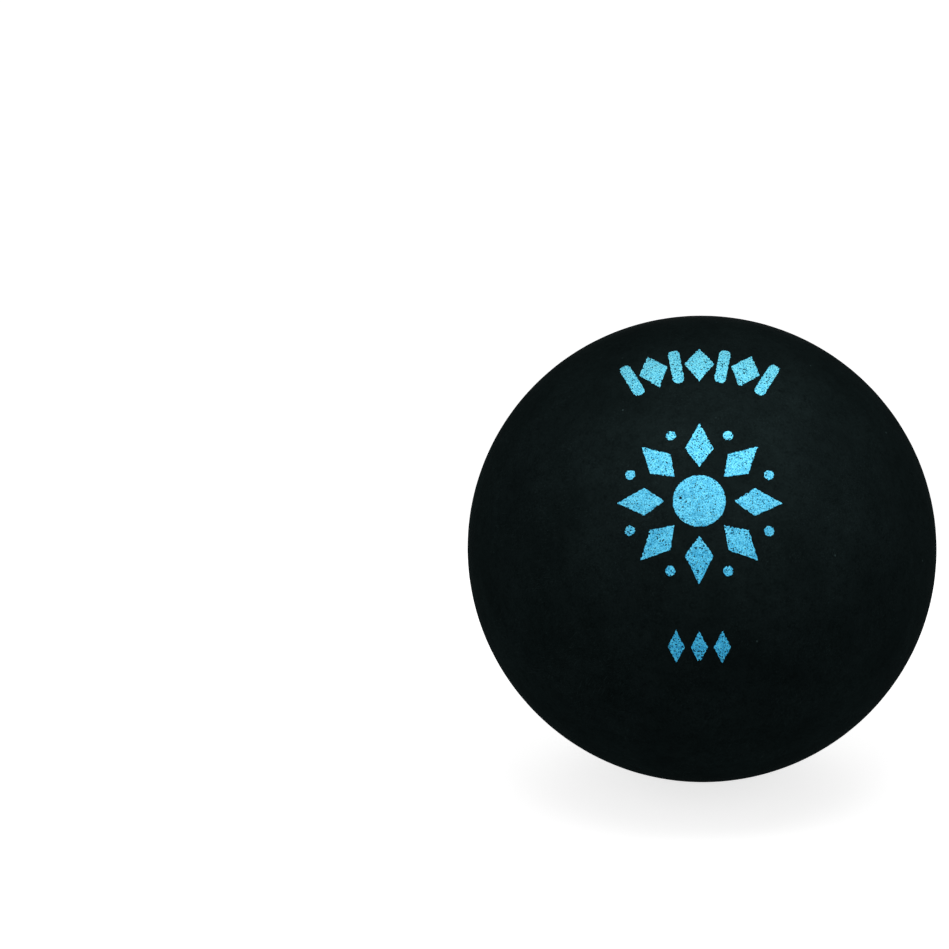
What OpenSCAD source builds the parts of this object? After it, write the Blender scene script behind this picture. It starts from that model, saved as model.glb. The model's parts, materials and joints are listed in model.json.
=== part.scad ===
// Hollow rubber squash ball of the large, bouncy grade for beginners.
// Two moulded half shells are glued rim to rim and carry a printed design.
// Millimetres. The origin is the ball's centre, +Z is up and the print faces -Y.

/* [Ball] */
// Outside diameter of the ball
ball_d = 45; // [38:0.5:60]
// Thickness of the rubber wall
wall_t = 3.8; // [2:0.1:6]

/* [Seam] */
// Thickness of the cured adhesive between the two rims
bond_t = 0.16; // [0.1:0.02:0.5]
// Bevel buffed on the inner edge of each rim
rim_bevel = 0.5; // [0.2:0.1:1]
// How far the adhesive bead laps over the wall past each bevel
bead_lap = 0.15; // [0.05:0.05:0.5]
// Depth of the fine groove that is left around the outside of the seam
groove_t = 0.06; // [0.02:0.02:0.2]

/* [Print] */
// Angle by which the centre of the print is tipped up from level
print_tip = 32.5; // [0:0.5:60]
// Thickness of the printed ink
ink_t = 0.05; // [0.02:0.01:0.15]

/* [Arc of marks] */
// Distance over the ball from the centre of the print up to the middle of the arc
arc_rise = 14.5; // [12:0.5:17]
// Distance along the arc from one mark to the next
arc_pitch = 2.1; // [2:0.1:2.6]
// Number of marks on each side of the middle one
arc_side_marks = 3; // [1:1:4]
// Height of every mark on the arc
arc_mark_h = 4.8; // [3:0.1:6]
// Width of a lozenge on the arc
arc_lozenge_w = 2.7; // [1.5:0.1:3]
// Width of a bar on the arc
arc_bar_w = 1; // [0.6:0.1:1.4]

/* [Rosette] */
// Diameter of the round dot in the middle
dot_d = 4.6; // [3:0.1:5]
// Number of petals, and of the small dots between their tips
petal_count = 8; // [6:1:10]
// Distance from the middle to the foot of each petal
petal_foot_r = 3; // [2.7:0.1:3.5]
// Length of each petal
petal_l = 4.2; // [3:0.1:5]
// Greatest width of each petal
petal_w = 2.5; // [1.5:0.1:2.8]
// Diameter of each small dot
small_dot_d = 0.9; // [0.5:0.1:1.2]
// Distance from the middle to the small dots
small_dot_r = 6.5; // [6:0.1:7.5]

/* [Row of small lozenges] */
// Distance over the ball from the centre of the print down to the row
row_drop = 13; // [11:0.5:15.5]
// Distance from one lozenge to the next
row_pitch = 2; // [1.8:0.1:3]
// Width of a small lozenge
row_lozenge_w = 1.5; // [0.8:0.1:1.7]
// Height of a small lozenge
row_lozenge_h = 3.2; // [2:0.1:4]

/* [Hidden] */
ball_r = ball_d / 2;
hollow_r = ball_r - wall_t;
rim_z = bond_t / 2;
bead_r = rim_bevel + rim_z + bead_lap;
// Angle that the arc's rise spans at the ball's centre, and the turn from mark to mark
arc_angle = angle_over(arc_rise, ball_r);
arc_turn = angle_over(arc_pitch, ball_r * sin(arc_angle));
// Where along its length a petal is widest
petal_shoulder_share = 0.42;
// How far a cut runs past the face that it opens
overrun = 0.5;
$fa = 3;
$fs = 0.1;

// Angle in degrees that a length spans along a circle of radius r
function angle_over(length, r) = length / r * 180 / PI;

// Turns a piece drawn around +Z so that +Z becomes the centre of the print and +Y its top
module at_print() {
    rotate([90 - print_tip, 0, 0])
        children();
}

// Half section of one rubber shell, to the right of the axis and above the seam
module wall_section() {
    difference() {
        circle(r = ball_r);
        circle(r = hollow_r);
        translate([-ball_r - overrun, -ball_r - overrun])
            square([ball_r + overrun, ball_d + 2 * overrun]);
        translate([-overrun, rim_z - ball_r - overrun])
            square([ball_r + 2 * overrun, ball_r + overrun]);
        polygon([
            [hollow_r - overrun, rim_z],
            [hollow_r + rim_bevel, rim_z],
            [hollow_r - overrun, rim_z + rim_bevel + overrun]
        ]);
        polygon([
            [ball_r - groove_t, rim_z],
            [ball_r + overrun, rim_z],
            [ball_r + overrun, rim_z + groove_t + overrun]
        ]);
    }
}

// Half section of the adhesive: a thin web between the rims and a bead inside, less the rubber
module adhesive_section() {
    difference() {
        union() {
            translate([hollow_r, 0])
                circle(r = bead_r);
            translate([hollow_r, -rim_z])
                square([wall_t - groove_t, bond_t]);
        }
        wall_section();
        mirror([0, 1])
            wall_section();
    }
}

module front_half_shell() {
    color([0.07, 0.09, 0.09])
        at_print()
            rotate_extrude()
                wall_section();
}

module rear_half_shell() {
    color([0.07, 0.09, 0.09])
        at_print()
            mirror([0, 0, 1])
                rotate_extrude()
                    wall_section();
}

module seam_adhesive() {
    color([0.16, 0.15, 0.13])
        at_print()
            rotate_extrude()
                adhesive_section();
}

// Prints a flat outline on the ball. Its place lies an angle above the centre of the
// print, and is then turned clockwise around that centre.
module printed_at(above, turn) {
    color([0.36, 0.77, 0.91])
        at_print()
            rotate([0, 0, -turn])
                rotate([-above, 0, 0])
                    intersection() {
                        difference() {
                            sphere(r = ball_r + ink_t);
                            sphere(r = ball_r);
                        }
                        translate([0, 0, hollow_r])
                            linear_extrude(wall_t + ink_t + overrun)
                                children();
                    }
}

module lozenge(w, h) {
    polygon([[0, -h / 2], [w / 2, 0], [0, h / 2], [-w / 2, 0]]);
}

// Upright bar with round ends
module bar(w, h) {
    square([w, h - w], center = true);
    for (side = [-1, 1])
        translate([0, side * (h - w) / 2])
            circle(d = w);
}

// Lozenges and bars by turns, with a bar at each end
module printed_arc() {
    for (i = [-arc_side_marks:arc_side_marks])
        printed_at(arc_angle, i * arc_turn)
            if ((arc_side_marks - i) % 2 == 0)
                bar(arc_bar_w, arc_mark_h);
            else
                lozenge(arc_lozenge_w, arc_mark_h);
}

// Kite that stands upright on its foot and is widest nearer the foot than the tip
module petal() {
    polygon([
        [0, petal_foot_r],
        [petal_w / 2, petal_foot_r + petal_l * petal_shoulder_share],
        [0, petal_foot_r + petal_l],
        [-petal_w / 2, petal_foot_r + petal_l * petal_shoulder_share]
    ]);
}

module printed_rosette() {
    printed_at(0, 0)
        circle(d = dot_d);
    for (i = [0:petal_count - 1]) {
        printed_at(0, 0)
            rotate(i * 360 / petal_count)
                petal();
        printed_at(0, 0)
            rotate((i + 0.5) * 360 / petal_count)
                translate([0, small_dot_r])
                    circle(d = small_dot_d);
    }
}

module printed_row() {
    for (i = [-1:1])
        printed_at(-angle_over(row_drop, ball_r), 0)
            translate([i * row_pitch, 0])
                lozenge(row_lozenge_w, row_lozenge_h);
}

front_half_shell();
rear_half_shell();
seam_adhesive();
printed_arc();
printed_rosette();
printed_row();
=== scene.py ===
"""Dresses a hollow squash ball: two buffed rubber shells, the glued seam and a printed design."""

import json
import math
from contextlib import contextmanager
from functools import partial
from typing import NamedTuple

import bmesh
import bpy
from bpy.props import FloatProperty, FloatVectorProperty, IntProperty, PointerProperty
from bpy.types import Operator, Panel, PropertyGroup
from mathutils import Matrix, Vector, noise


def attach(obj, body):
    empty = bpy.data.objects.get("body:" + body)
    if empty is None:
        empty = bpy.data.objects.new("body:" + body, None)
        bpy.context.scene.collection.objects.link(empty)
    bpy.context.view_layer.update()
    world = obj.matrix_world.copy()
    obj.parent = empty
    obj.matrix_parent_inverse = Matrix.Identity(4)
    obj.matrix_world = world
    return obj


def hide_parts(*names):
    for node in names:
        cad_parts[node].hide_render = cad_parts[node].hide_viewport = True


bl_info = {
    "name": "Squash Ball",
    "version": (1, 0, 0),
    "blender": (4, 5, 0),
    "location": "View3D > Sidebar > Squash Ball",
    "description": "Makes a hollow rubber squash ball with a glued seam and a printed design",
    "category": "Add Mesh",
}

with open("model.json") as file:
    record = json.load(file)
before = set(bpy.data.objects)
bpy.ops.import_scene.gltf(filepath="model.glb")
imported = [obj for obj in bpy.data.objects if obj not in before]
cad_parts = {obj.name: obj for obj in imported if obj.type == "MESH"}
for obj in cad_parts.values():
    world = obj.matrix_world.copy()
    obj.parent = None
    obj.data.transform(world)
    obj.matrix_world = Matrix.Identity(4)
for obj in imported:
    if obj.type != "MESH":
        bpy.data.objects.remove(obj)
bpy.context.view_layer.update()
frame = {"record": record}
REST_POINT = next(m for m in frame["record"]["mounts"] if m["name"] == "rest_point")
FRONT_SHELL = "front_shell"

MM = 0.001
FULL_TURN = 2 * math.pi
QUARTER_TURN = math.pi / 2
# Places that lie nearer to each other than this are one place
CLOSE = 0.001 * MM
# Faces that meet at a smaller angle than this are shaded as one smooth surface
SMOOTH_ANGLE = math.radians(30)
# Equal parts of a turn. A section is spun through one, and copies of it make the others
SECTORS = 16
WHITE = (1, 1, 1)


class BallSizes(PropertyGroup):
    """Sizes of the two shells and of the glued seam between them."""
    radius: FloatProperty(
        name="Radius", description="Outside radius of the ball",
        default=-REST_POINT["pos_m"][2], unit="LENGTH")
    wall: FloatProperty(
        name="Wall", description="Thickness of the rubber wall",
        default=3.8 * MM, unit="LENGTH")
    rim_bevel: FloatProperty(
        name="Rim bevel", description="Bevel on the inner edge of each rim",
        default=0.5 * MM, unit="LENGTH")
    bond: FloatProperty(
        name="Bond", description="Thickness of the adhesive between the rims",
        default=0.16 * MM, unit="LENGTH")
    groove: FloatProperty(
        name="Groove", description="Depth of the groove around the outside of the seam",
        default=0.06 * MM, unit="LENGTH")
    bead_lap: FloatProperty(
        name="Bead lap", description="How far the adhesive bead laps over the wall past a bevel",
        default=0.15 * MM, unit="LENGTH")
    bead_swell: FloatProperty(
        name="Bead swell", description="Size of one swell of the bead's uneven surface",
        default=2.4 * MM, unit="LENGTH")
    bead_unevenness: FloatProperty(
        name="Bead unevenness",
        description="Height of those swells, as a share of the bead's radius",
        default=0.25, subtype="FACTOR", min=0, max=1)
    relief: FloatProperty(
        name="Relief", description="Height of the unevenness that buffing leaves on the rubber",
        default=0.016 * MM, unit="LENGTH")
    relief_grain: FloatProperty(
        name="Relief grain", description="Size of one swell of that unevenness",
        default=1.3 * MM, unit="LENGTH")
    turn_steps: IntProperty(
        name="Turn steps", description="Faces around a shell and around the seam",
        default=512, min=64)
    outer_rows: IntProperty(
        name="Outer rows", description="Rows of faces from the rim to the crown, outside",
        default=120, min=16)
    inner_rows: IntProperty(
        name="Inner rows", description="Rows of faces from the rim to the crown, inside",
        default=24, min=8)
    bead_rows: IntProperty(
        name="Bead rows", description="Rows of faces in a quarter of the bead's section",
        default=8, min=4)


class PrintSizes(PropertyGroup):
    """Sizes of the printed design and of the faults in its ink."""
    tip: FloatProperty(
        name="Tip", description="Angle by which the print's centre is tipped up from level",
        default=math.radians(32.5), subtype="ANGLE", unit="ROTATION")
    ink: FloatProperty(
        name="Ink", description="Thickness of the ink film", default=0.04 * MM, unit="LENGTH")
    arc_rise: FloatProperty(
        name="Arc rise", description="Distance over the ball from the print's centre to the arc",
        default=14.5 * MM, unit="LENGTH")
    arc_pitch: FloatProperty(
        name="Arc pitch", description="Distance along the arc from mark to mark",
        default=2.1 * MM, unit="LENGTH")
    arc_side_marks: IntProperty(
        name="Arc side marks", description="Marks on each side of the arc's middle one",
        default=3, min=1)
    arc_lozenge: FloatVectorProperty(
        name="Arc lozenge", description="Width and height of a lozenge on the arc",
        size=2, default=(2.7 * MM, 4.8 * MM), unit="LENGTH")
    arc_bar: FloatProperty(
        name="Arc bar", description="Width of a bar on the arc", default=1.0 * MM, unit="LENGTH")
    dot: FloatProperty(
        name="Dot", description="Diameter of the rosette's middle dot",
        default=4.6 * MM, unit="LENGTH")
    petals: IntProperty(
        name="Petals", description="Number of petals of the rosette", default=8, min=3)
    petal_foot: FloatProperty(
        name="Petal foot", description="Distance from the rosette's middle to a petal's foot",
        default=3.0 * MM, unit="LENGTH")
    petal: FloatVectorProperty(
        name="Petal", description="Width and length of a petal",
        size=2, default=(2.5 * MM, 4.2 * MM), unit="LENGTH")
    petal_shoulder: FloatProperty(
        name="Petal shoulder", description="Share of its length at which a petal is widest",
        default=0.42, subtype="FACTOR")
    small_dot: FloatProperty(
        name="Small dot", description="Diameter of a small dot", default=0.9 * MM, unit="LENGTH")
    small_dot_ring: FloatProperty(
        name="Small dot ring", description="Distance from the rosette's middle to the small dots",
        default=6.5 * MM, unit="LENGTH")
    row_drop: FloatProperty(
        name="Row drop", description="Distance over the ball from the print's centre to the row",
        default=13.0 * MM, unit="LENGTH")
    row_pitch: FloatProperty(
        name="Row pitch", description="Distance from one small lozenge to the next",
        default=2.0 * MM, unit="LENGTH")
    row_side_marks: IntProperty(
        name="Row side marks", description="Small lozenges on each side of the row's middle one",
        default=1, min=1)
    row_lozenge: FloatVectorProperty(
        name="Small lozenge", description="Width and height of a small lozenge",
        size=2, default=(1.5 * MM, 3.2 * MM), unit="LENGTH")
    cell: FloatProperty(
        name="Cell", description="Size of the faces that a mark is made of",
        default=0.05 * MM, unit="LENGTH")
    spare_cells: IntProperty(
        name="Spare cells", description="Faces by which a sheet is wider and taller than its mark",
        default=4, min=2)
    smoothing: IntProperty(
        name="Smoothing", description="Passes that smooth the steps of an outline cut from cells",
        default=3, min=1)
    edge_grain: FloatProperty(
        name="Edge grain", description="Size of one swell of a mark's ragged edge",
        default=0.22 * MM, unit="LENGTH")
    edge_height: FloatProperty(
        name="Edge height", description="Height of the swells of a mark's ragged edge",
        default=0.16 * MM, unit="LENGTH")
    pit_spacing: FloatProperty(
        name="Pit spacing", description="Distance between the pits of the rubber that ink misses",
        default=0.2 * MM, unit="LENGTH")
    pit_radius: FloatProperty(
        name="Pit radius", description="Radius of such a pit",
        default=0.05 * MM, unit="LENGTH")
    pit_wear: FloatProperty(
        name="Pit wear", description="How much wider the pits are at the arc than in the middle",
        default=0.4, subtype="FACTOR")
    pit_chance: FloatProperty(
        name="Pit chance", description="How much wider or narrower the pits are by chance",
        default=0.3, subtype="FACTOR")
    pit_patch: FloatProperty(
        name="Pit patch", description="Number of pits across a patch in which they are alike",
        default=5)
    least_faces: IntProperty(
        name="Least faces", description="Faces of the smallest piece of ink that sticks",
        default=40, min=1)


class RubberLook(PropertyGroup):
    """Colour and texture of the buffed rubber."""
    colour: FloatVectorProperty(
        name="Colour", description="Colour of the buffed rubber",
        size=3, subtype="COLOR", default=(0.0057, 0.0096, 0.0097))
    gloss: FloatProperty(
        name="Gloss", description="Specular level of the rubber", default=0.0012)
    grain: FloatProperty(
        name="Grain", description="Size of the fine grain", default=0.22 * MM, unit="LENGTH")
    grain_depth: FloatProperty(
        name="Grain depth", description="Depth of the bumps", default=0.012 * MM, unit="LENGTH")
    mottle: FloatProperty(
        name="Mottle", description="Size of the mottling", default=0.9 * MM, unit="LENGTH")
    cloud: FloatProperty(
        name="Cloud", description="Size of the widest, cloudy swells of tone",
        default=5.0 * MM, unit="LENGTH")
    scuff: FloatProperty(
        name="Scuff", description="Width of a scuff", default=0.11 * MM, unit="LENGTH")
    scuff_stretch: FloatProperty(
        name="Scuff stretch", description="How many times as long as wide a scuff is", default=9)
    dust: FloatProperty(
        name="Dust", description="Radius of a speck of dust", default=0.07 * MM, unit="LENGTH")
    dust_spacing: FloatProperty(
        name="Dust spacing", description="Distance between the places where dust can lie",
        default=1.7 * MM, unit="LENGTH")
    band: FloatProperty(
        name="Band", description="How far from the seam the more strongly buffed band can reach",
        default=1.0 * MM, unit="LENGTH")


class AdhesiveLook(PropertyGroup):
    """Colour and texture of the cured adhesive."""
    colour: FloatVectorProperty(
        name="Colour", description="Colour of the cured adhesive",
        size=3, subtype="COLOR", default=(0.0065, 0.006, 0.005))
    gloss: FloatProperty(
        name="Gloss", description="Specular level of the adhesive", default=0.01)
    cloud: FloatProperty(
        name="Cloud", description="Size of its swells of tone", default=0.6 * MM, unit="LENGTH")
    depth: FloatProperty(
        name="Depth", description="Depth of its bumps", default=0.02 * MM, unit="LENGTH")


class InkLook(PropertyGroup):
    """Colours and texture of the printed ink, and its tints at the arc and the row, which are
    partly painted light.
    """
    colour: FloatVectorProperty(
        name="Colour", description="Colour of the ink",
        size=3, subtype="COLOR", default=(0.1, 0.6, 0.92))
    thin: FloatVectorProperty(
        name="Thin ink", description="Colour of ink so thin that the rubber shows through",
        size=3, subtype="COLOR", default=(0.011, 0.222, 0.4232))
    thick: FloatVectorProperty(
        name="Thick ink", description="Colour of the ink where it lies thick",
        size=3, subtype="COLOR", default=(0.1968, 0.7368, 0.932))
    # Painted light: the ink at the arc is made paler, as if the arc were more strongly lit
    head_painted_light: FloatVectorProperty(
        name="Head tint", description="Red, green and blue at the arc, as shares of the middle's",
        size=3, default=(1.45, 1.22, 1.07))
    # Partly real and partly painted light: the ink at the row is less red, as thinner ink, and its
    # green and blue are raised as painted light where the lamps light it less
    foot_tint_and_painted_light: FloatVectorProperty(
        name="Foot tint", description="Red, green and blue at the row, as shares of the middle's",
        size=3, default=(0.74, 1.2, 1.36))
    wear: FloatProperty(
        name="Wear", description="How worn the patches are in the middle of the print",
        default=0.36, subtype="FACTOR")
    head_ease: FloatProperty(
        name="Head ease", description="How much less worn they are at the arc",
        default=0.3, subtype="FACTOR")
    foot_wear: FloatProperty(
        name="Foot wear", description="How much more worn they are at the row",
        default=0.1, subtype="FACTOR")
    gloss: FloatProperty(
        name="Gloss", description="Specular level of the ink", default=0.1)
    grain: FloatProperty(
        name="Grain", description="Size of the ink's grain", default=0.085 * MM, unit="LENGTH")
    grain_depth: FloatProperty(
        name="Grain depth", description="Depth of the bumps", default=0.008 * MM, unit="LENGTH")
    patch: FloatProperty(
        name="Patch", description="Size of a worn patch", default=0.45 * MM, unit="LENGTH")


class StageSettings(PropertyGroup):
    """Camera, floor and the light that comes from all around."""
    elevation: FloatProperty(
        name="Elevation", description="Angle from which the camera looks down on the ball",
        default=math.radians(22), subtype="ANGLE", unit="ROTATION")
    distance: FloatProperty(
        name="Distance", description="Distance from the camera to the ball's centre",
        default=205.0 * MM, unit="LENGTH")
    picture: FloatProperty(
        name="Picture", description="Width and height of the picture in pixels", default=949)
    ball_pixel: FloatVectorProperty(
        name="Ball in the picture", description="Pixel at which the ball's centre lies",
        size=2, default=(699.3, 548.0))
    lens: FloatProperty(
        name="Lens", description="Focal length in millimetres", default=79.6)
    sensor: FloatProperty(
        name="Sensor", description="Width of the sensor in millimetres", default=36)
    near: FloatProperty(
        name="Near", description="Nearest distance that the camera sees",
        default=10.0 * MM, unit="LENGTH")
    far: FloatProperty(
        name="Far", description="Furthest distance that the camera sees",
        default=20.0, unit="LENGTH")
    floor_width: FloatProperty(
        name="Floor width", description="Width of the square floor", default=6.0, unit="LENGTH")
    floor_colour: FloatVectorProperty(
        name="Floor colour", description="Colour of the floor",
        size=3, subtype="COLOR", default=(0.85, 0.85, 0.85))
    floor_glow: FloatProperty(
        name="Floor glow", description="Light that the floor adds where the camera sees it",
        default=0.74)
    fill: FloatProperty(
        name="Fill", description="Level of the light that comes from all around", default=0.3)


class Softbox(NamedTuple):
    """Soft panel of light close to the ball, which the camera doesn't see."""
    name: str
    azimuth: float
    elevation: float
    level: float
    distance: float
    size: tuple


class SideLight(NamedTuple):
    """Weak light from afar. Its spread is the angle that it fills."""
    name: str
    azimuth: float
    elevation: float
    level: float
    spread: float


# Lamps around the ball. Angles are in degrees, azimuth 0 is the front and 90 the right
SOFTBOXES = (
    Softbox("front_softbox", azimuth=8, elevation=48, level=1.56,
            distance=45 * MM, size=(42 * MM, 14 * MM)),
    Softbox("rear_softbox", azimuth=180, elevation=5, level=0.9,
            distance=64 * MM, size=(34 * MM, 34 * MM)),
)
SIDE_LIGHTS = (
    SideLight("right_light", azimuth=85, elevation=14, level=0.15, spread=60),
    SideLight("left_light", azimuth=-85, elevation=14, level=0.18, spread=60),
)

# Tones in the pits and on the peaks of a surface's grain, as shares of its colour
RUBBER_TONE_SHARES = (0.62, 1.38)
ADHESIVE_TONE_SHARES = (0.6, 1.3)
# Layers over the rubber's grain: how much of each shows, and its tone as a share of the colour
RUBBER_LAYER_SHARES = {
    "mottle": (0.5, 1.6),
    "cloud": (0.4, 0.5),
    "scuffs": (0.3, 3.2),
    "band": (0.25, 1.8),
    "dust": (1.0, 6.0),
}
# Scuffs that run two ways: the turn of their direction, and the size of a scuffed patch
SCUFF_SETS = (
    ((0.5, 0.3, 0.2), 3.0 * MM),
    ((1.2, -0.5, 0.9), 4.1 * MM),
)


def only(piece):
    """Selects one piece and nothing else."""
    bpy.ops.object.select_all(action="DESELECT")
    piece.select_set(True)
    bpy.context.view_layer.objects.active = piece


@contextmanager
def editing(piece):
    """Edit mode on one piece."""
    only(piece)
    bpy.ops.object.mode_set(mode="EDIT")
    yield
    bpy.ops.object.mode_set(mode="OBJECT")


def pick(piece, kind, wanted):
    """Selects the vertices, edges or faces that pass a test, and returns how many do."""
    bpy.ops.mesh.select_mode(type=kind)
    bpy.ops.mesh.select_all(action="DESELECT")
    mesh = bmesh.from_edit_mesh(piece.data)
    parts = {"VERT": mesh.verts, "EDGE": mesh.edges, "FACE": mesh.faces}[kind]
    found = [part for part in parts if wanted(part)]
    for part in found:
        part.select_set(True)
    mesh.select_flush_mode()
    bmesh.update_edit_mesh(piece.data)
    return len(found)


def named(name):
    """Names the object that was just made."""
    piece = bpy.context.active_object
    piece.name = piece.data.name = name
    return piece


def apply_place(piece):
    """Moves a piece's turn, place and scale into its mesh."""
    bpy.context.view_layer.update()
    only(piece)
    bpy.ops.object.transform_apply(location=True, rotation=True, scale=True)


def apply_modifier(piece, kind, **settings):
    """Adds a modifier with these settings and applies it."""
    modifier = piece.modifiers.new(kind, kind)
    for key, value in settings.items():
        setattr(modifier, key, value)
    bpy.context.view_layer.update()
    only(piece)
    bpy.ops.object.modifier_apply(modifier=modifier.name)


def clouds(name, grain, kind="GRAYSCALE"):
    """A procedural texture of soft noise whose swells are one grain wide."""
    texture = bpy.data.textures.new(name, "CLOUDS")
    texture.noise_scale = grain
    texture.cloud_type = kind
    return texture


def roughen(piece, grain, height):
    """Makes the vertices in the piece's one vertex group uneven, and clears the group."""
    apply_modifier(
        piece, "DISPLACE", texture=clouds(piece.name + "_relief", grain), strength=height,
        vertex_group=piece.vertex_groups[0].name, texture_coords="LOCAL")
    piece.vertex_groups.clear()


def shade(piece):
    """Shades a piece smooth, apart from its sharp edges."""
    only(piece)
    bpy.ops.object.shade_smooth_by_angle(angle=SMOOTH_ANGLE)


def join(pieces, name):
    """Joins pieces into one, which gets a name of its own."""
    bpy.ops.object.select_all(action="DESELECT")
    for piece in pieces:
        piece.select_set(True)
    bpy.context.view_layer.objects.active = pieces[0]
    bpy.ops.object.join()
    return named(name)


def hand_over(piece, node, material):
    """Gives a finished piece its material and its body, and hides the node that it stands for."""
    piece.data.materials.clear()
    piece.data.materials.append(material)
    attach(piece, "root")
    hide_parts(node)


def print_turn(sizes):
    """Turns +Z to the centre of the print, and +Y to its top."""
    return Matrix.Rotation(QUARTER_TURN - sizes.tip, 4, "X")


def place_on_ball(sizes, ball, above, turn=0.0):
    """Turns +Z to a place on the print, above its centre and then turned clockwise round it."""
    return (print_turn(sizes) @ Matrix.Rotation(-turn, 4, "Z")
            @ Matrix.Rotation(-above / ball.radius, 4, "X"))


class Seam:
    """Places along the rim's section, as radius and height above the middle of the seam."""

    def __init__(self, ball):
        self.outer = ball.radius
        self.hollow = ball.radius - ball.wall
        half_bond = ball.bond / 2
        # The groove runs from its root on the rim to its lip on the outside
        self.root = (self.outer - ball.groove, half_bond)
        self.lip = self.on_sphere(self.outer, self.root[0] - half_bond, 1)
        # The bevel runs from its foot on the rim to its end on the inner wall
        self.foot = (self.hollow + ball.rim_bevel, half_bond)
        self.bevel_end = self.on_sphere(self.hollow, self.foot[0] + half_bond, -1)
        # The radius of the bead, and where its surface meets the inner wall
        self.bead = ball.rim_bevel + half_bond + ball.bead_lap
        inner = self.hollow - self.bead ** 2 / (2 * self.hollow)
        self.lap = (inner, math.sqrt(self.hollow ** 2 - inner ** 2))

    @staticmethod
    def on_sphere(radius, start_r, slope):
        """Where a 45 degree line from a place on the seam plane meets a sphere near the seam."""
        z = slope * (math.sqrt(2 * radius ** 2 - start_r ** 2) - start_r) / 2
        return (start_r + slope * z, z)


def add_section_circle(radius, quarter_rows, centre=(0, 0, 0)):
    """Adds a circle in the XZ plane, in which sections are drawn. Only an arc of it is kept."""
    bpy.ops.mesh.primitive_circle_add(
        vertices=4 * quarter_rows, radius=radius, location=centre, rotation=(QUARTER_TURN, 0, 0))


def extrude_to(points, start_point):
    """Extrudes the selected end of a section through points of radius and height."""
    r, z = start_point
    for next_r, next_z in points:
        bpy.ops.mesh.extrude_vertices_move(
            TRANSFORM_OT_translate={"value": (next_r - r, 0, next_z - z)})
        r, z = next_r, next_z


def spin_section(steps):
    """Spins the whole section around +Z into a closed skin whose faces point outwards."""
    sector = FULL_TURN / SECTORS
    axis = {"center": (0, 0, 0), "axis": (0, 0, 1)}
    bpy.ops.mesh.select_all(action="SELECT")
    bpy.ops.mesh.spin(steps=steps // SECTORS, angle=sector, **axis)
    bpy.ops.mesh.select_all(action="SELECT")
    bpy.ops.mesh.spin(steps=SECTORS - 1, angle=FULL_TURN - sector, dupli=True, **axis)
    bpy.ops.mesh.select_all(action="SELECT")
    bpy.ops.mesh.remove_doubles(threshold=CLOSE)
    bpy.ops.mesh.normals_make_consistent(inside=False)


def make_shell(name, ball, turn):
    """One half shell: outer dome, seam groove, buffed rim, bevel and inner dome."""
    seam = Seam(ball)
    bpy.ops.object.select_all(action="DESELECT")
    add_section_circle(seam.outer, ball.outer_rows)
    shell = named(name)
    apply_place(shell)

    def on_plane(v):
        return abs(v.co.z) < CLOSE

    with editing(shell):
        # Both domes keep a quarter circle
        add_section_circle(seam.hollow, ball.inner_rows)
        pick(shell, "VERT", lambda v: min(v.co.x, v.co.z) < -CLOSE)
        bpy.ops.mesh.delete(type="VERT")
        # Their ends rise from the seam's plane to the bevel and to the lip of the groove
        pick(shell, "VERT", lambda v: on_plane(v) and v.co.x < seam.hollow + CLOSE)
        bpy.ops.transform.translate(
            value=(seam.bevel_end[0] - seam.hollow, 0, seam.bevel_end[1]))
        pick(shell, "VERT", on_plane)
        bpy.ops.transform.translate(value=(seam.lip[0] - seam.outer, 0, seam.lip[1]))
        # The rim and the bevel close the section
        extrude_to([seam.root, seam.foot], seam.lip)
        bevel = [Vector((r, 0, z)) for r, z in (seam.foot, seam.bevel_end)]
        pick(shell, "VERT", lambda v: min((v.co - end).length for end in bevel) < CLOSE)
        bpy.ops.mesh.edge_face_add()
        spin_section(ball.turn_steps)
        # The outside is what buffing leaves uneven
        pick(shell, "VERT", lambda v: v.co.length > seam.outer - CLOSE)
        bpy.ops.object.vertex_group_assign_new()
    shell.matrix_world = turn
    apply_place(shell)
    roughen(shell, ball.relief_grain, ball.relief)
    shade(shell)
    return shell


def make_glue(name, ball, turn):
    """The adhesive: a bead along the inner wall and a web between the rims, out to the groove."""
    seam = Seam(ball)
    bpy.ops.object.select_all(action="DESELECT")
    add_section_circle(seam.bead, ball.bead_rows, (seam.hollow, 0, 0))
    glue = named(name)
    apply_place(glue)
    with editing(glue):
        pick(glue, "VERT", lambda v: v.co.length > seam.hollow)
        bpy.ops.mesh.delete(type="VERT")
        # Each end of the bead's arc runs along the wall, down the bevel and out along the rim
        for side in (1, -1):
            web = [(r, side * z) for r, z in (seam.lap, seam.bevel_end, seam.foot, seam.root)]
            mesh = bmesh.from_edit_mesh(glue.data)
            end = max(mesh.verts, key=lambda v: side * v.co.z).co.copy()
            pick(glue, "VERT", lambda v: (v.co - end).length < CLOSE)
            extrude_to(web, (end.x, end.z))
        pick(glue, "VERT", lambda v: v.co.x > seam.root[0] - CLOSE)
        bpy.ops.mesh.edge_face_add()
        spin_section(ball.turn_steps)
        # Only the bead's free surface is uneven
        pick(glue, "VERT", lambda v: v.co.length < seam.hollow - CLOSE)
        bpy.ops.object.vertex_group_assign_new()
    glue.matrix_world = turn
    apply_place(glue)
    roughen(glue, ball.bead_swell, ball.bead_unevenness * seam.bead)
    shade(glue)
    return glue


class BALL_OT_shells(Operator):
    """Make the two rubber half shells: the front one, and a copy of it turned over"""
    bl_idname = "ball.shells"
    bl_label = "Half Shells"

    def execute(self, context):
        scene = context.scene
        front = make_shell(FRONT_SHELL, scene.ball_sizes, print_turn(scene.print_sizes))
        only(front)
        bpy.ops.object.duplicate()
        rear = named("rear_shell")
        rear.matrix_world = Matrix.Rotation(FULL_TURN / 2, 4, "X")
        apply_place(rear)
        rubber = buffed_rubber(scene)
        hand_over(front, "front_half_shell", rubber)
        hand_over(rear, "rear_half_shell", rubber)
        return {"FINISHED"}


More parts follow.
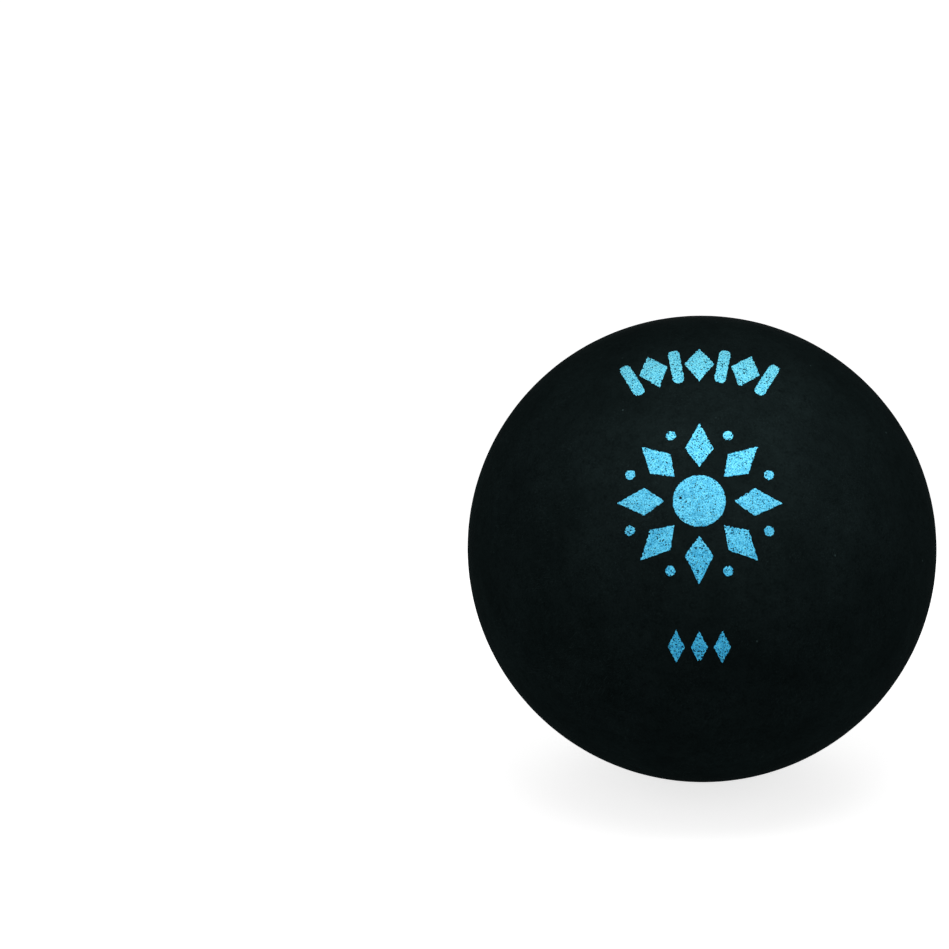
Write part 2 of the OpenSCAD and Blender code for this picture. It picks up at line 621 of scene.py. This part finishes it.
class BALL_OT_seam(Operator):
    """Make the adhesive: the web between the rims and the bead that squeezed out inside"""
    bl_idname = "ball.seam"
    bl_label = "Seam Adhesive"

    def execute(self, context):
        scene = context.scene
        glue = make_glue("seam_glue", scene.ball_sizes, print_turn(scene.print_sizes))
        hand_over(glue, "seam_adhesive", cured_adhesive(scene))
        return {"FINISHED"}


def in_lozenge(x, y, width, height):
    """Lozenge that stands on its tip."""
    return abs(x) / (width / 2) + abs(y) / (height / 2) < 1


def in_bar(x, y, width, height):
    """Upright bar with round ends."""
    past = max(0.0, abs(y) - (height - width) / 2)
    return math.hypot(x, past) < width / 2


def in_petal(x, y, sizes):
    """Kite on the +Y side of the middle, widest at its shoulder."""
    width, length = sizes.petal
    along = (y - sizes.petal_foot) / length
    if along < sizes.petal_shoulder:
        half = width / 2 * along / sizes.petal_shoulder
    else:
        half = width / 2 * (1 - along) / (1 - sizes.petal_shoulder)
    return abs(x) < half


def in_rosette(x, y, sizes):
    """Dot, petals and small dots. The plane is folded into the sector of one petal."""
    reach = math.hypot(x, y)
    if reach < sizes.dot / 2:
        return True
    sector = FULL_TURN / sizes.petals
    angle = math.atan2(x, y)
    folded = angle - sector * round(angle / sector)
    if in_petal(reach * math.sin(folded), reach * math.cos(folded), sizes):
        return True
    folded = abs(folded) - sector / 2
    across, along = reach * math.sin(folded), reach * math.cos(folded)
    return math.hypot(across, along - sizes.small_dot_ring) < sizes.small_dot / 2


def in_row(x, y, sizes):
    """Lozenges side by side, of which the nearest one counts."""
    side_marks = sizes.row_side_marks
    nearest = max(-side_marks, min(side_marks, round(x / sizes.row_pitch)))
    return in_lozenge(x - nearest * sizes.row_pitch, y, *sizes.row_lozenge)


def clear_pinches(film):
    """Opens every vertex at which ink would touch ink by a corner alone."""
    def pinched(v):
        return sum(e.is_boundary for e in v.link_edges) > 2 or not v.link_faces

    while pick(film, "VERT", pinched):
        bpy.ops.mesh.delete(type="VERT")


def islands(mesh):
    """Gives each island of faces that hang together, as a set."""
    left = set(mesh.faces)
    while left:
        island = set()
        front = {left.pop()}
        while front:
            island |= front
            front = {near for face in front for edge in face.edges for near in edge.link_faces}
            front &= left
            left -= front
        yield island


def drop_flecks(film, least):
    """Drops islands of fewer faces than this, which would be loose flecks beside a mark."""
    mesh = bmesh.from_edit_mesh(film.data)
    mesh.faces.index_update()
    flecks = {face.index for island in islands(mesh) if len(island) < least for face in island}
    if pick(film, "FACE", lambda f: f.index in flecks):
        bpy.ops.mesh.delete(type="FACE")


def print_film(name, width, height, inside, turn, sizes):
    """Cuts a flat sheet of ink to an outline, roughens it and lays it on the front shell."""
    shell = bpy.data.objects[FRONT_SHELL]
    crown = Vector((0, 0, shell.dimensions.x / 2))
    up = print_turn(sizes).col[1].xyz
    margin = sizes.spare_cells * sizes.cell
    columns, rows = (math.ceil((side + margin) / sizes.cell) for side in (width, height))
    bpy.ops.object.select_all(action="DESELECT")
    bpy.ops.mesh.primitive_grid_add(x_subdivisions=columns, y_subdivisions=rows, size=1)
    film = named(name)
    film.scale = (columns * sizes.cell, rows * sizes.cell, 1)
    apply_place(film)

    def outside(face):
        centre = face.calc_center_median()
        return not inside(centre.x, centre.y)

    def unprinted(face):
        """A face over a pit. Pits are wider above and below the middle of the print."""
        place = turn @ (face.calc_center_median() + crown)
        from_pit = noise.voronoi(place / sizes.pit_spacing)[0][0] * sizes.pit_spacing
        wear = sizes.pit_wear * abs(place.dot(up)) / sizes.arc_rise
        chance = sizes.pit_chance * noise.noise(place / (sizes.pit_patch * sizes.pit_spacing))
        return from_pit < sizes.pit_radius * (1 + wear + chance)

    with editing(film):
        pick(film, "FACE", outside)
        bpy.ops.mesh.delete(type="FACE")
        clear_pinches(film)
        pick(film, "EDGE", lambda e: e.is_boundary)
        bpy.ops.mesh.vertices_smooth(factor=0.5, repeat=sizes.smoothing)
        pick(film, "FACE", unprinted)
        bpy.ops.mesh.delete(type="FACE")
        clear_pinches(film)
        drop_flecks(film, sizes.least_faces)
        # The sheet waits above the ball, and is then laid on it along its own -Z
        bpy.ops.mesh.select_all(action="SELECT")
        bpy.ops.transform.translate(value=2 * crown)
    film.matrix_world = turn
    apply_modifier(
        film, "DISPLACE", texture=clouds(name + "_edge", sizes.edge_grain, "COLOR"),
        strength=sizes.edge_height, direction="RGB_TO_XYZ", space="LOCAL",
        texture_coords="GLOBAL")
    apply_modifier(
        film, "SHRINKWRAP", target=shell, wrap_method="PROJECT", use_project_z=True,
        use_negative_direction=True, use_positive_direction=False)
    apply_modifier(film, "SOLIDIFY", thickness=sizes.ink, offset=1)
    apply_place(film)
    return film


def hand_over_print(piece, node, scene):
    """Shades and hands over one group of the print. All groups share one ink."""
    shade(piece)
    hand_over(piece, node, bpy.data.materials.get("printed_ink") or printed_ink(scene))


class BALL_OT_print_arc(Operator):
    """Print the arc of lozenges and bars above the rosette"""
    bl_idname = "ball.print_arc"
    bl_label = "Printed Arc"

    def execute(self, context):
        scene = context.scene
        sizes, ball = scene.print_sizes, scene.ball_sizes
        lozenge_width, height = sizes.arc_lozenge
        step = sizes.arc_pitch / (ball.radius * math.sin(sizes.arc_rise / ball.radius))
        marks = []
        for i in range(-sizes.arc_side_marks, sizes.arc_side_marks + 1):
            if (sizes.arc_side_marks - i) % 2 == 0:
                outline, width = in_bar, sizes.arc_bar
            else:
                outline, width = in_lozenge, lozenge_width
            marks.append(print_film(
                "arc_mark", width, height, partial(outline, width=width, height=height),
                place_on_ball(sizes, ball, sizes.arc_rise, i * step), sizes))
        hand_over_print(join(marks, "print_arc"), "printed_arc", scene)
        return {"FINISHED"}


class BALL_OT_print_rosette(Operator):
    """Print the rosette in the middle of the design"""
    bl_idname = "ball.print_rosette"
    bl_label = "Printed Rosette"

    def execute(self, context):
        scene = context.scene
        sizes = scene.print_sizes
        across = 2 * (sizes.petal_foot + sizes.petal[1])
        rosette = print_film(
            "print_rosette", across, across, partial(in_rosette, sizes=sizes),
            print_turn(sizes), sizes)
        hand_over_print(rosette, "printed_rosette", scene)
        return {"FINISHED"}


class BALL_OT_print_row(Operator):
    """Print the row of small lozenges below the rosette"""
    bl_idname = "ball.print_row"
    bl_label = "Printed Row"

    def execute(self, context):
        scene = context.scene
        sizes = scene.print_sizes
        width, height = sizes.row_lozenge
        across = 2 * sizes.row_side_marks * sizes.row_pitch + width
        row = print_film(
            "print_row", across, height, partial(in_row, sizes=sizes),
            place_on_ball(sizes, scene.ball_sizes, -sizes.row_drop), sizes)
        hand_over_print(row, "printed_row", scene)
        return {"FINISHED"}


class Wire:
    """A value in a material. Sums, differences and products of wires add Math nodes."""

    def __init__(self, graph, socket):
        self.graph = graph
        self.socket = socket

    def __add__(self, other):
        return self.graph.maths("ADD", self, other)

    def __sub__(self, other):
        return self.graph.maths("SUBTRACT", self, other)

    def __rsub__(self, other):
        return self.graph.maths("SUBTRACT", other, self)

    def __mul__(self, other):
        return self.graph.maths("MULTIPLY", self, other)

    __radd__ = __add__
    __rmul__ = __mul__

    def beside(self, output):
        """Another output of the same node."""
        return Wire(self.graph, self.socket.node.outputs[output])


class Graph:
    """The nodes of a material or of the world."""

    def __init__(self, owner):
        owner.use_nodes = True
        self.owner = owner
        self.tree = owner.node_tree
        self.tree.nodes.clear()

    def add(self, kind, settings=None, inputs=None, output=0):
        """Adds a node. Its settings come first, then the values or wires of its sockets."""
        node = self.tree.nodes.new(kind)
        for key, value in (settings or {}).items():
            if key == "stops":
                self.set_stops(node.color_ramp, value)
            else:
                setattr(node, key, value)
        for key, value in (inputs or {}).items():
            if isinstance(value, Wire):
                self.tree.links.new(value.socket, node.inputs[key])
            else:
                node.inputs[key].default_value = value
        return Wire(self, node.outputs[output]) if node.outputs else node

    @staticmethod
    def set_stops(ramp, stops):
        """Gives a ramp grey stops, each a position from 0 to 1 and the level there."""
        while len(ramp.elements) < len(stops):
            ramp.elements.new(1.0)
        for element, (position, level) in zip(ramp.elements, stops):
            element.position = position
            element.color = (level, level, level, 1)

    def maths(self, operation, first, second=0.0):
        """One step of arithmetic on numbers or wires."""
        return self.add("ShaderNodeMath", {"operation": operation}, {0: first, 1: second})

    def place(self):
        """Where a point of the surface lies, in the piece's own frame."""
        return self.add("ShaderNodeTexCoord", output="Object")

    def along(self, place, direction):
        """How far a place lies along a direction from the ball's centre."""
        return self.add("ShaderNodeVectorMath", {"operation": "DOT_PRODUCT"},
                        {0: place, 1: direction.xyz}, "Value")

    def noise(self, place, grain, detail=2.0, roughness=0.5):
        """Noise from 0 to 1 whose swells are one grain wide."""
        return self.add(
            "ShaderNodeTexNoise", None,
            {"Vector": place, "Scale": 1 / grain, "Detail": detail, "Roughness": roughness},
            "Fac")

    def ramp(self, value, *stops):
        """Turns a value into a level that changes evenly from stop to stop."""
        return self.add("ShaderNodeValToRGB", {"stops": stops}, {"Fac": value})

    def mix(self, factor, first, second, blend="MIX"):
        """Mixes two colours, which are tuples or wires."""
        return self.add(
            "ShaderNodeMix", {"data_type": "RGBA", "blend_type": blend},
            {0: factor, 6: rgba(first), 7: rgba(second)}, 2)

    def bump(self, height, depth):
        """Bumps in the surface. Where the height is 1, they stand one depth proud."""
        return self.add("ShaderNodeBump", None, {"Height": height, "Distance": depth})

    def seen(self):
        """1 for rays that the camera, a mirror or glass sends out, and 0 for light."""
        camera = self.add("ShaderNodeLightPath", output="Is Camera Ray")
        mirror = camera.beside("Is Glossy Ray")
        glass = camera.beside("Is Transmission Ray")
        return self.maths("MAXIMUM", camera, self.maths("MAXIMUM", mirror, glass))

    def close(self, **surface):
        """Adds the surface shader and the output, and gives back the material."""
        shader = self.add("ShaderNodeBsdfPrincipled", None, {
            key.replace("_", " "): value for key, value in surface.items()})
        self.add("ShaderNodeOutputMaterial", None, {"Surface": shader})
        return self.owner


def rgba(colour):
    """A colour as a socket takes it. A wire stays as it is."""
    return colour if isinstance(colour, Wire) else (*colour, 1)


def tone_of(colour, share):
    """A colour made darker or lighter."""
    return tuple(share * c for c in colour)


def scuffs(g, place, look, turn, patch):
    """Short thin streaks along one direction, in patches."""
    stretched = g.add(
        "ShaderNodeMapping", {"vector_type": "TEXTURE"},
        {"Vector": place, "Rotation": turn, "Scale": (1, 1, look.scuff_stretch)})
    streaks = g.ramp(g.noise(stretched, look.scuff, 1.0), (0.6, 0), (0.72, 1))
    return streaks * g.ramp(g.noise(place, patch, 1.0), (0.45, 0), (0.6, 1))


def dust(g, place, look):
    """Round specks with soft rims, at a few of the places where they can lie."""
    middle = g.add("ShaderNodeTexVoronoi", None,
                   {"Vector": place, "Scale": 1 / look.dust_spacing}, "Distance")
    chance = g.add("ShaderNodeSeparateColor", None, {"Color": middle.beside("Color")})
    rim = look.dust / look.dust_spacing
    return g.ramp(middle, (rim, 1), (1.6 * rim, 0)) * g.ramp(chance, (0.82, 0), (1.0, 1))


def buffed_rubber(scene):
    """Buffed rubber: grain, mottling, cloudy tone, pale scuffs, a band at the seam and dust."""
    g = Graph(bpy.data.materials.new("buffed_rubber"))
    look = scene.rubber_look
    place = g.place()
    grain = g.noise(place, look.grain, 3.0, 0.6)
    mottle = g.noise(place, look.mottle, 3.0, 0.6)
    cloud = g.noise(place, look.cloud)
    scuffed = sum(scuffs(g, place, look, turn, patch) for turn, patch in SCUFF_SETS)
    from_seam = g.maths("ABSOLUTE", g.along(place, print_turn(scene.print_sizes).col[2]))
    masks = {
        "mottle": g.ramp(mottle, (0.35, 0), (0.65, 1)),
        "cloud": g.ramp(cloud, (0.35, 0), (0.65, 1)),
        "scuffs": scuffed,
        "band": g.ramp(from_seam * (1 / look.band) + mottle, (0.9, 1), (1.0, 0)),
        "dust": dust(g, place, look),
    }
    pits, peaks = (tone_of(look.colour, share) for share in RUBBER_TONE_SHARES)
    tone = g.mix(g.ramp(grain, (0.3, 0), (0.7, 1)), pits, peaks)
    for layer, (amount, share) in RUBBER_LAYER_SHARES.items():
        tone = g.mix(masks[layer] * amount, tone, tone_of(look.colour, share))
    return g.close(
        Base_Color=tone,
        Roughness=g.ramp(grain, (0.2, 0.8), (0.8, 0.95)),
        Specular_IOR_Level=look.gloss,
        Normal=g.bump(grain + mottle * 0.6 + scuffed * 0.3, look.grain_depth))


def cured_adhesive(scene):
    """Cured rubber solution, a little shinier than the rubber."""
    g = Graph(bpy.data.materials.new("cured_adhesive"))
    look = scene.adhesive_look
    cloud = g.noise(g.place(), look.cloud, 3.0)
    pits, peaks = (tone_of(look.colour, share) for share in ADHESIVE_TONE_SHARES)
    return g.close(
        Base_Color=g.mix(cloud, pits, peaks),
        Roughness=g.ramp(cloud, (0.3, 0.55), (0.7, 0.7)),
        Specular_IOR_Level=look.gloss,
        Normal=g.bump(cloud, look.depth))


def printed_ink(scene):
    """Printed ink: pale where it lies thick, darker where the rubber's grain shows through. Its
    tints at the arc and at the row are partly painted light.
    """
    g = Graph(bpy.data.materials.new("printed_ink"))
    look, sizes = scene.ink_look, scene.print_sizes
    place = g.place()
    grain = g.noise(place, look.grain, 1.0)
    patch = g.noise(place, look.patch)
    # Height on the print, from about 0 at the row to about 1 at the arc
    height = g.along(place, print_turn(sizes).col[1]) * (0.5 / sizes.arc_rise) + 0.5
    foot = g.ramp(height, (0.08, 1), (0.45, 0))
    head = g.ramp(height, (0.55, 0), (0.96, 1))
    tone = g.mix(g.ramp(grain, (0.38, 0), (0.46, 1)), look.thin, look.colour)
    tone = g.mix(g.ramp(grain, (0.52, 0), (0.6, 1)), tone, look.thick)
    wear = look.wear + foot * look.foot_wear - head * look.head_ease
    tone = g.mix(g.ramp(patch, (0.36, 1), (0.52, 0)) * wear, tone, look.thin)
    # Tints that are partly painted light: the arc is made paler as painted light, and the row
    # bluer, partly as thinner ink and partly as painted light
    tint = g.mix(head, g.mix(foot, WHITE, look.foot_tint_and_painted_light), look.head_painted_light)
    return g.close(
        Base_Color=g.mix(1.0, tone, tint, "MULTIPLY"),
        Roughness=g.ramp(grain, (0.2, 0.6), (0.8, 0.75)),
        Specular_IOR_Level=look.gloss,
        Normal=g.bump(grain, look.grain_depth))


def direction(azimuth, elevation):
    """Direction from the ball's centre. Azimuth 0 is the front, and a quarter turn the right."""
    level = math.cos(elevation)
    return Vector((math.sin(azimuth) * level, -math.cos(azimuth) * level, math.sin(elevation)))


def facing_ball(back, distance):
    """Place and turn of a camera or lamp that looks at the ball's centre from a direction."""
    turn = (-back).to_track_quat("-Z", "Y").to_matrix().to_4x4()
    return Matrix.Translation(back * distance) @ turn


class BALL_OT_stage(Operator):
    """Set up the camera, the floor and the lamps"""
    bl_idname = "ball.stage"
    bl_label = "Stage"

    def execute(self, context):
        scene = context.scene
        stage, ball = scene.stage_settings, scene.ball_sizes
        self.aim_camera(scene, stage)
        self.lay_floor(stage, ball)
        self.light_all_round(scene, stage)
        for box in SOFTBOXES:
            self.add_softbox(scene, box, ball)
        for light in SIDE_LIGHTS:
            self.add_side_light(scene, light, stage)
        scene.view_settings.view_transform = "Standard"
        return {"FINISHED"}

    @staticmethod
    def aim_camera(scene, stage):
        """Looks down on the ball from the front, then turns so that it sits off centre."""
        focal = stage.lens / stage.sensor * stage.picture
        right, down = (pixel - stage.picture / 2 for pixel in stage.ball_pixel)
        yaw = math.atan(right / focal)
        pitch = math.atan(down / focal * math.cos(yaw))
        camera = bpy.data.objects.new("camera", bpy.data.cameras.new("camera"))
        scene.collection.objects.link(camera)
        camera.matrix_world = (
            facing_ball(direction(0, stage.elevation), stage.distance)
            @ Matrix.Rotation(pitch, 4, "X") @ Matrix.Rotation(yaw, 4, "Y"))
        camera.data.lens = stage.lens
        camera.data.sensor_width = stage.sensor
        camera.data.clip_start = stage.near
        camera.data.clip_end = stage.far
        scene.camera = camera

    @staticmethod
    def lay_floor(stage, ball):
        """Lays a pale floor under the ball, which looks white and keeps the ball's shadow."""
        bpy.ops.object.select_all(action="DESELECT")
        bpy.ops.mesh.primitive_plane_add(size=stage.floor_width, location=(0, 0, -ball.radius))
        floor = named("floor")
        g = Graph(bpy.data.materials.new("pale_floor"))
        plain = g.add("ShaderNodeBsdfDiffuse", None, {"Color": rgba(stage.floor_colour)})
        glow = g.add("ShaderNodeEmission", None,
                     {"Color": rgba(WHITE), "Strength": g.seen() * stage.floor_glow})
        both = g.add("ShaderNodeAddShader", None, {0: plain, 1: glow})
        g.add("ShaderNodeOutputMaterial", None, {"Surface": both})
        floor.data.materials.append(g.owner)

    @staticmethod
    def light_all_round(scene, stage):
        """Gives the world an even, weak light. Where it is seen, it is white."""
        scene.world = bpy.data.worlds.new("studio")
        g = Graph(scene.world)
        level = g.seen() * (1 - stage.fill) + stage.fill
        back = g.add("ShaderNodeBackground", None, {"Color": rgba(WHITE), "Strength": level})
        g.add("ShaderNodeOutputWorld", None, {"Surface": back})

    @staticmethod
    def add_lamp(scene, light, kind, distance):
        """Adds a lamp that faces the ball."""
        back = direction(math.radians(light.azimuth), math.radians(light.elevation))
        lamp = bpy.data.objects.new(light.name, bpy.data.lights.new(light.name, kind))
        scene.collection.objects.link(lamp)
        lamp.matrix_world = facing_ball(back, distance)
        return lamp

    def add_softbox(self, scene, box, ball):
        """Adds a softbox. A small one of level 1 turns a white face on the ball just white."""
        lamp = self.add_lamp(scene, box, "AREA", box.distance)
        lamp.data.shape = "RECTANGLE"
        lamp.data.size, lamp.data.size_y = box.size
        lamp.data.energy = box.level * (math.pi * (box.distance - ball.radius)) ** 2
        lamp.visible_camera = False

    def add_side_light(self, scene, light, stage):
        """Adds a side light. One of level 1 turns a white face square to it just white."""
        lamp = self.add_lamp(scene, light, "SUN", stage.distance)
        lamp.data.angle = math.radians(light.spread)
        lamp.data.energy = math.pi * light.level


GROUPS = {
    "ball_sizes": BallSizes,
    "print_sizes": PrintSizes,
    "rubber_look": RubberLook,
    "adhesive_look": AdhesiveLook,
    "ink_look": InkLook,
    "stage_settings": StageSettings,
}
OPERATORS = (
    BALL_OT_shells,
    BALL_OT_seam,
    BALL_OT_print_arc,
    BALL_OT_print_rosette,
    BALL_OT_print_row,
    BALL_OT_stage,
)


class BALL_PT_panel(Panel):
    """Lists the sizes, the looks and the steps that make the ball"""
    bl_idname = "BALL_PT_panel"
    bl_label = "Squash Ball"
    bl_space_type = "VIEW_3D"
    bl_region_type = "UI"
    bl_category = "Squash Ball"

    def draw(self, context):
        for group, kind in GROUPS.items():
            box = self.layout.box()
            for key in kind.__annotations__:
                box.prop(getattr(context.scene, group), key)
        for operator in OPERATORS:
            self.layout.operator(operator.bl_idname)


def register():
    """Registers the classes, and gives every scene the groups of settings."""
    for kind in (*GROUPS.values(), *OPERATORS, BALL_PT_panel):
        bpy.utils.register_class(kind)
    for name, kind in GROUPS.items():
        setattr(bpy.types.Scene, name, PointerProperty(type=kind))


def unregister():
    """Takes the groups of settings and the classes away again."""
    for name in GROUPS:
        delattr(bpy.types.Scene, name)
    for kind in reversed((*GROUPS.values(), *OPERATORS, BALL_PT_panel)):
        bpy.utils.unregister_class(kind)


def main():
    """Makes the ball and its stage."""
    register()
    for operator in OPERATORS:
        group, name = operator.bl_idname.split(".")
        getattr(getattr(bpy.ops, group), name)()


if __name__ == "__main__":
    main()
